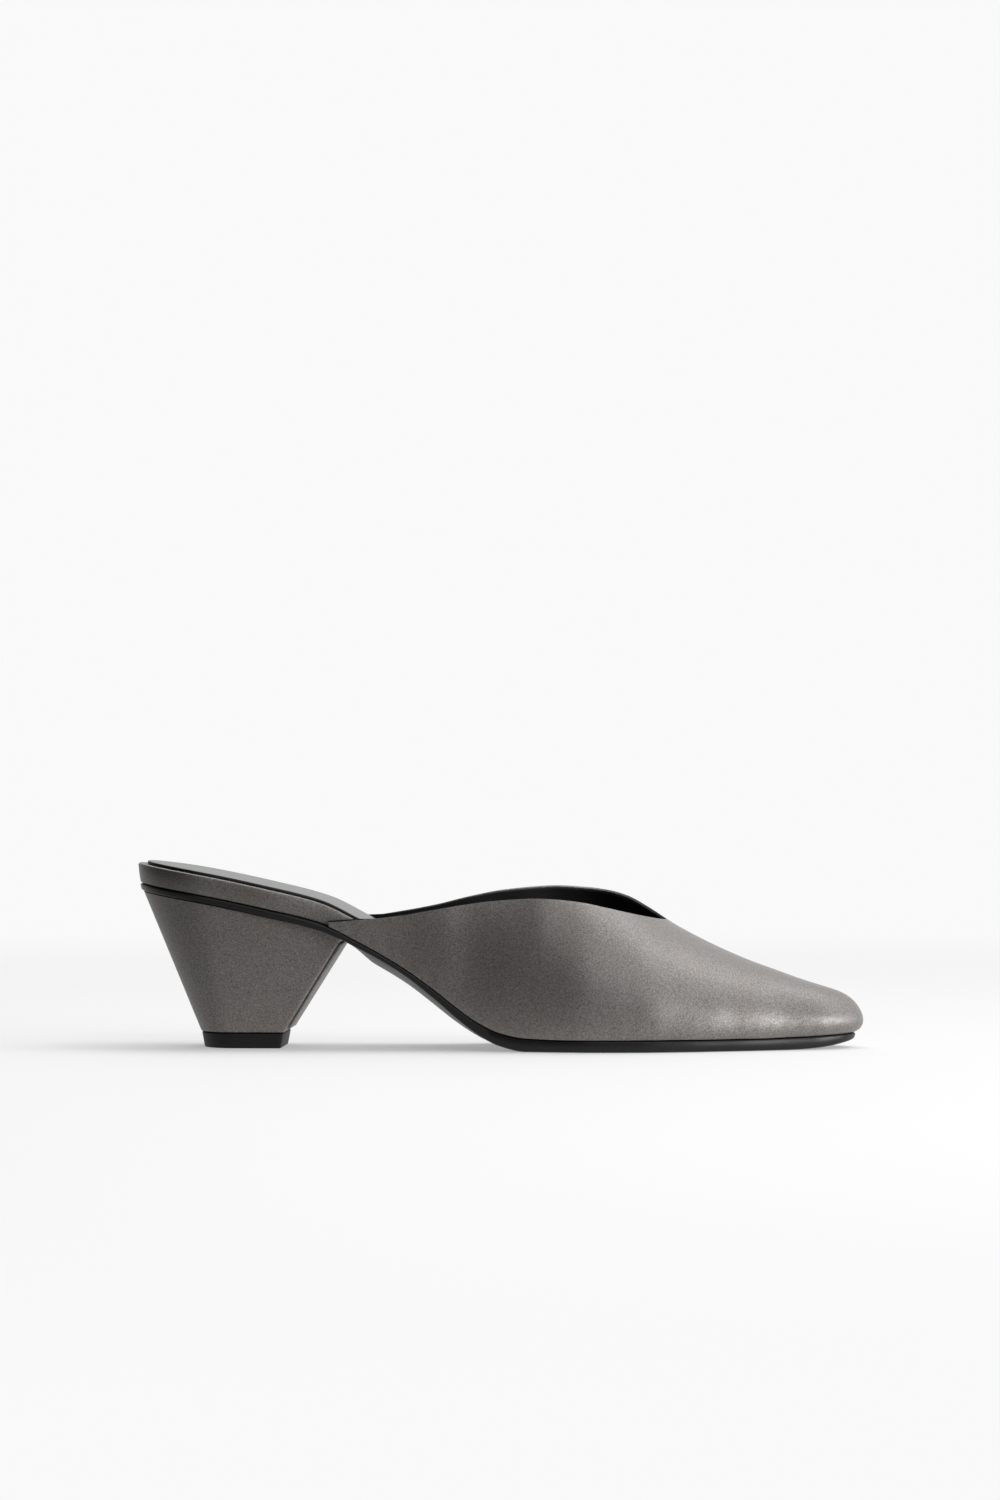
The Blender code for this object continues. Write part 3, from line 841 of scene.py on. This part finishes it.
def heel_half_outline(back_x, breast_x, half_at):
    """Half of a heel's D outline: from the middle of its back round to the corner of its breast."""
    points = []
    for k in range(HEEL_STEPS + 1):
        x = mix(back_x, breast_x - HEEL_CORNER, 1 - math.cos(math.pi / 2 * k / HEEL_STEPS))
        points.append((x, half_at(x)))
    corner_x, corner_y = points[-1]
    for k in range(1, CORNER_STEPS + 1):
        angle = math.pi / 2 * k / CORNER_STEPS
        y = corner_y - HEEL_CORNER * (1 - math.cos(angle))
        points.append((corner_x + HEEL_CORNER * math.sin(angle), y))
    return points


def heel_ring(half, centre, height):
    """Closed ring from half an outline: its back, its outer side, then back along its inner side."""
    outer = [(x, centre(x) - y, height(x)) for x, y in half]
    inner = [(x, centre(x) + y, height(x)) for x, y in reversed(half[1:])]
    return outer + inner


def heel_top_half(x):
    """Half width of the heel where it meets the sole."""
    seat = x - HEEL_BACK_INSET
    inset = mix(HEEL_BACK_INSET, HEEL_BREAST_INSET, ease(HEEL_ROUND, BREAST_TOP_X, x))
    round_back = round_end(seat, HEEL_ROUND - HEEL_BACK_INSET)
    return (BALL_WIDTH * read(PLAN, "half", x / SOLE_LENGTH) - inset) * round_back


def heel_base_half(x, shrink=0.0):
    start = HEEL_BASE_BACK_X + shrink
    return (HEEL_BASE_WIDTH / 2 - shrink) * round_end(x - start, HEEL_BASE_ROUND)


def strip_heel(loop):
    """Faces across a heel ring, which has one point at its back and a flat breast."""
    half = (len(loop) + 1) // 2
    faces = [(loop[0], loop[1], loop[-1])]
    faces += [(loop[k], loop[k + 1], loop[-k - 1], loop[-k]) for k in range(1, half - 1)]
    return faces


def heel_ends():
    """The heel's rings at the sole and at its tip, which straight lines join."""
    top = heel_ring(heel_half_outline(HEEL_BACK_INSET, BREAST_TOP_X, heel_top_half),
                    centre_y, lambda x: sole_bottom(x) - GAP)
    base = heel_ring(heel_half_outline(HEEL_BASE_BACK_X, BREAST_BASE_X, heel_base_half),
                     lambda x: 0.0, lambda x: TIP_HEIGHT + GAP)
    return top, base


def build_heel():
    """Satin heel, narrowing straight down to its tip."""
    top, base = heel_ends()
    rings = []
    for level in range(HEEL_LEVELS + 1):
        way = level / HEEL_LEVELS
        rings.append([tuple(mix(a, b, way) for a, b in zip(above, below))
                      for above, below in zip(top, base)])
    settle(loft("satin_heel", [satin], rings, cap=strip_heel, sharp=50), "satin", "heel")


def build_heel_tip():
    """Rubber top piece that tapers to the floor."""
    def tip_ring(shrink, height):
        half = heel_half_outline(HEEL_BASE_BACK_X + shrink, BREAST_BASE_X - shrink,
                                 lambda x: heel_base_half(x, shrink))
        return heel_ring(half, lambda x: 0.0, lambda x: height)

    rings = [tip_ring(GAP * 2, TIP_HEIGHT), tip_ring(GAP, TIP_HEIGHT - GAP),
             tip_ring(TIP_TAPER - TIP_EDGE_ROUND, TIP_EDGE), tip_ring(TIP_TAPER, 0.0)]
    settle(loft("rubber_tip", [tip_rubber], rings, cap=strip_heel, sharp=50), "rubber", "heel_tip")


def build_breast_cover():
    """Satin panel on the breast, inset from its edges, with turned edges."""
    top, base = heel_ends()
    corner = HEEL_STEPS + CORNER_STEPS
    top_outer, top_inner = top[corner], top[corner + 1]
    base_outer, base_inner = base[corner], base[corner + 1]
    slant = math.dist((top_outer[0], top_outer[2]), (base_outer[0], base_outer[2]))
    face_x = (top_outer[2] - base_outer[2]) / slant
    face_z = (base_outer[0] - top_outer[0]) / slant
    corners = (
        (top_outer, base_outer, OUTER, 0),
        (top_outer, base_outer, OUTER, 1),
        (top_inner, base_inner, INNER, 1),
        (top_inner, base_inner, INNER, 0),
    )

    def panel(depth, trim=0.0):
        points = []
        for above, below, side, way in corners:
            down = (COVER_INSET / 2 + trim + (slant - COVER_INSET - 2 * trim) * way) / slant
            x, y, z = (mix(a, b, down) for a, b in zip(above, below))
            points.append((x + face_x * depth, y - side * (COVER_INSET + trim), z + face_z * depth))
        return points

    turned = COVER_THICKNESS * 0.5
    rings = [panel(GAP + COVER_THICKNESS, turned), panel(GAP + COVER_THICKNESS - turned * 0.3, turned * 0.3),
             panel(GAP + COVER_THICKNESS - turned), panel(GAP)]
    cover = loft("breast_panel", [satin], rings, cap=lambda loop: [loop], sharp=60)
    settle(cover, "satin", "heel_breast_cover")


def soft_range(tree, value, fade, levels):
    """Maps a value softly from between the fade's ends onto between two levels."""
    node = tree.nodes.new("ShaderNodeMapRange")
    node.interpolation_type = "SMOOTHSTEP"
    node.inputs["From Min"].default_value, node.inputs["From Max"].default_value = fade
    node.inputs["To Min"].default_value, node.inputs["To Max"].default_value = levels
    tree.links.new(value, node.inputs["Value"])
    return node.outputs["Result"]


def toward_bright_side(tree, place, fade, levels):
    """A level that rises toward the studio's bright side."""
    facing = tree.nodes.new("ShaderNodeVectorMath")
    facing.operation = "DOT_PRODUCT"
    facing.inputs[1].default_value = BRIGHT_SIDE
    tree.links.new(place, facing.inputs[0])
    return soft_range(tree, facing.outputs["Value"], fade, levels)


def from_middle(tree, place):
    """Distance from the origin."""
    away = tree.nodes.new("ShaderNodeVectorMath")
    away.operation = "LENGTH"
    tree.links.new(place, away.inputs[0])
    return away.outputs["Value"]


def mix_shaders(tree, share, first, second):
    node = tree.nodes.new("ShaderNodeMixShader")
    for source, socket in zip((share, first, second), node.inputs):
        tree.links.new(source, socket)
    return node.outputs["Shader"]


def floor_material():
    """Takes the shoe's shadow, turns into the backdrop farther off and throws light from one side."""
    made, tree, shader = start_material("pale_floor", 0.85, specular=0.1)
    shader.inputs["Base Color"].default_value = (*FLOOR_COLOR, 1.0)
    shader.inputs["Emission Color"].default_value = (1.0, 1.0, 1.0, 1.0)
    shader.inputs["Emission Strength"].default_value = FLOOR_GLOW
    bounce = tree.nodes.new("ShaderNodeEmission")
    glow = toward_bright_side(tree, place_on_object(tree), FLOOR_FADE, FLOOR_BOUNCE)
    tree.links.new(glow, bounce.inputs["Strength"])
    backdrop = tree.nodes.new("ShaderNodeEmission")
    backdrop.inputs["Strength"].default_value = BACKDROP
    far = soft_range(tree, from_middle(tree, place_on_object(tree)), FLOOR_FAR, (0.0, 1.0))
    even = mix_shaders(tree, far, shader.outputs["BSDF"], backdrop.outputs["Emission"])
    rays = tree.nodes.new("ShaderNodeLightPath")
    seen = mix_shaders(tree, rays.outputs["Is Camera Ray"], bounce.outputs["Emission"], even)
    tree.links.new(seen, tree.nodes["Material Output"].inputs["Surface"])
    return made


def build_stage():
    bpy.ops.mesh.primitive_plane_add(size=FLOOR_SIZE, location=(0.0, 0.0, 0.0))
    floor = bpy.context.object
    floor.name = "floor"
    floor.data.materials.append(floor_material())


def area_light(name, place, aim, size, power):
    data = bpy.data.lights.new(name, "AREA")
    data.shape = "RECTANGLE"
    data.size, data.size_y = size
    data.energy = power
    lamp = bpy.data.objects.new(name, data)
    lamp.location = place
    lamp.rotation_euler = (Vector(aim) - Vector(place)).to_track_quat("-Z", "Y").to_euler()
    bpy.context.scene.collection.objects.link(lamp)


def build_lights():
    sun = bpy.data.lights.new("key_sun", "SUN")
    sun.energy = SUN_STRENGTH
    sun.angle = math.radians(SUN_SPREAD)
    lamp = bpy.data.objects.new("key_sun", sun)
    lamp.rotation_euler = Vector(SUN_FROM).to_track_quat("Z", "Y").to_euler()
    bpy.context.scene.collection.objects.link(lamp)
    for row in AREA_LIGHTS:
        area_light(*row)


def build_world():
    """Pale surroundings, darker on the camera's side, as in a studio with its light behind the set."""
    world = bpy.data.worlds.new("studio")
    bpy.context.scene.world = world
    world.use_nodes = True
    tree = world.node_tree
    background = tree.nodes["Background"]
    place = tree.nodes.new("ShaderNodeTexCoord").outputs["Generated"]
    glow = toward_bright_side(tree, place, WORLD_FADE, WORLD_LEVELS)
    rays = tree.nodes.new("ShaderNodeLightPath")
    choose = tree.nodes.new("ShaderNodeMix")
    choose.data_type = "FLOAT"
    tree.links.new(rays.outputs["Is Camera Ray"], choose.inputs[0])
    tree.links.new(glow, choose.inputs[2])
    choose.inputs[3].default_value = BACKDROP
    tree.links.new(choose.outputs[0], background.inputs["Strength"])
    background.inputs["Color"].default_value = (1.0, 1.0, 1.0, 1.0)


def build_camera():
    data = bpy.data.cameras.new("camera")
    data.lens = LENS
    data.sensor_width = SENSOR
    data.clip_end = 100.0
    camera = bpy.data.objects.new("camera", data)
    camera.location = (VIEW_DISTANCE * math.sin(VIEW_AZIMUTH),
                       -VIEW_DISTANCE * math.cos(VIEW_AZIMUTH),
                       VIEW_HEIGHT)
    camera.rotation_euler = (math.pi / 2 - VIEW_PITCH, 0.0, VIEW_AZIMUTH)
    bpy.context.scene.collection.objects.link(camera)
    bpy.context.scene.camera = camera


build_upper()
build_facing_seam()
build_outsole()
build_board()
build_sock()
build_heel()
build_heel_tip()
build_breast_cover()
build_stage()
build_lights()
build_world()
build_camera()
bpy.context.scene.view_settings.view_transform = "Standard"
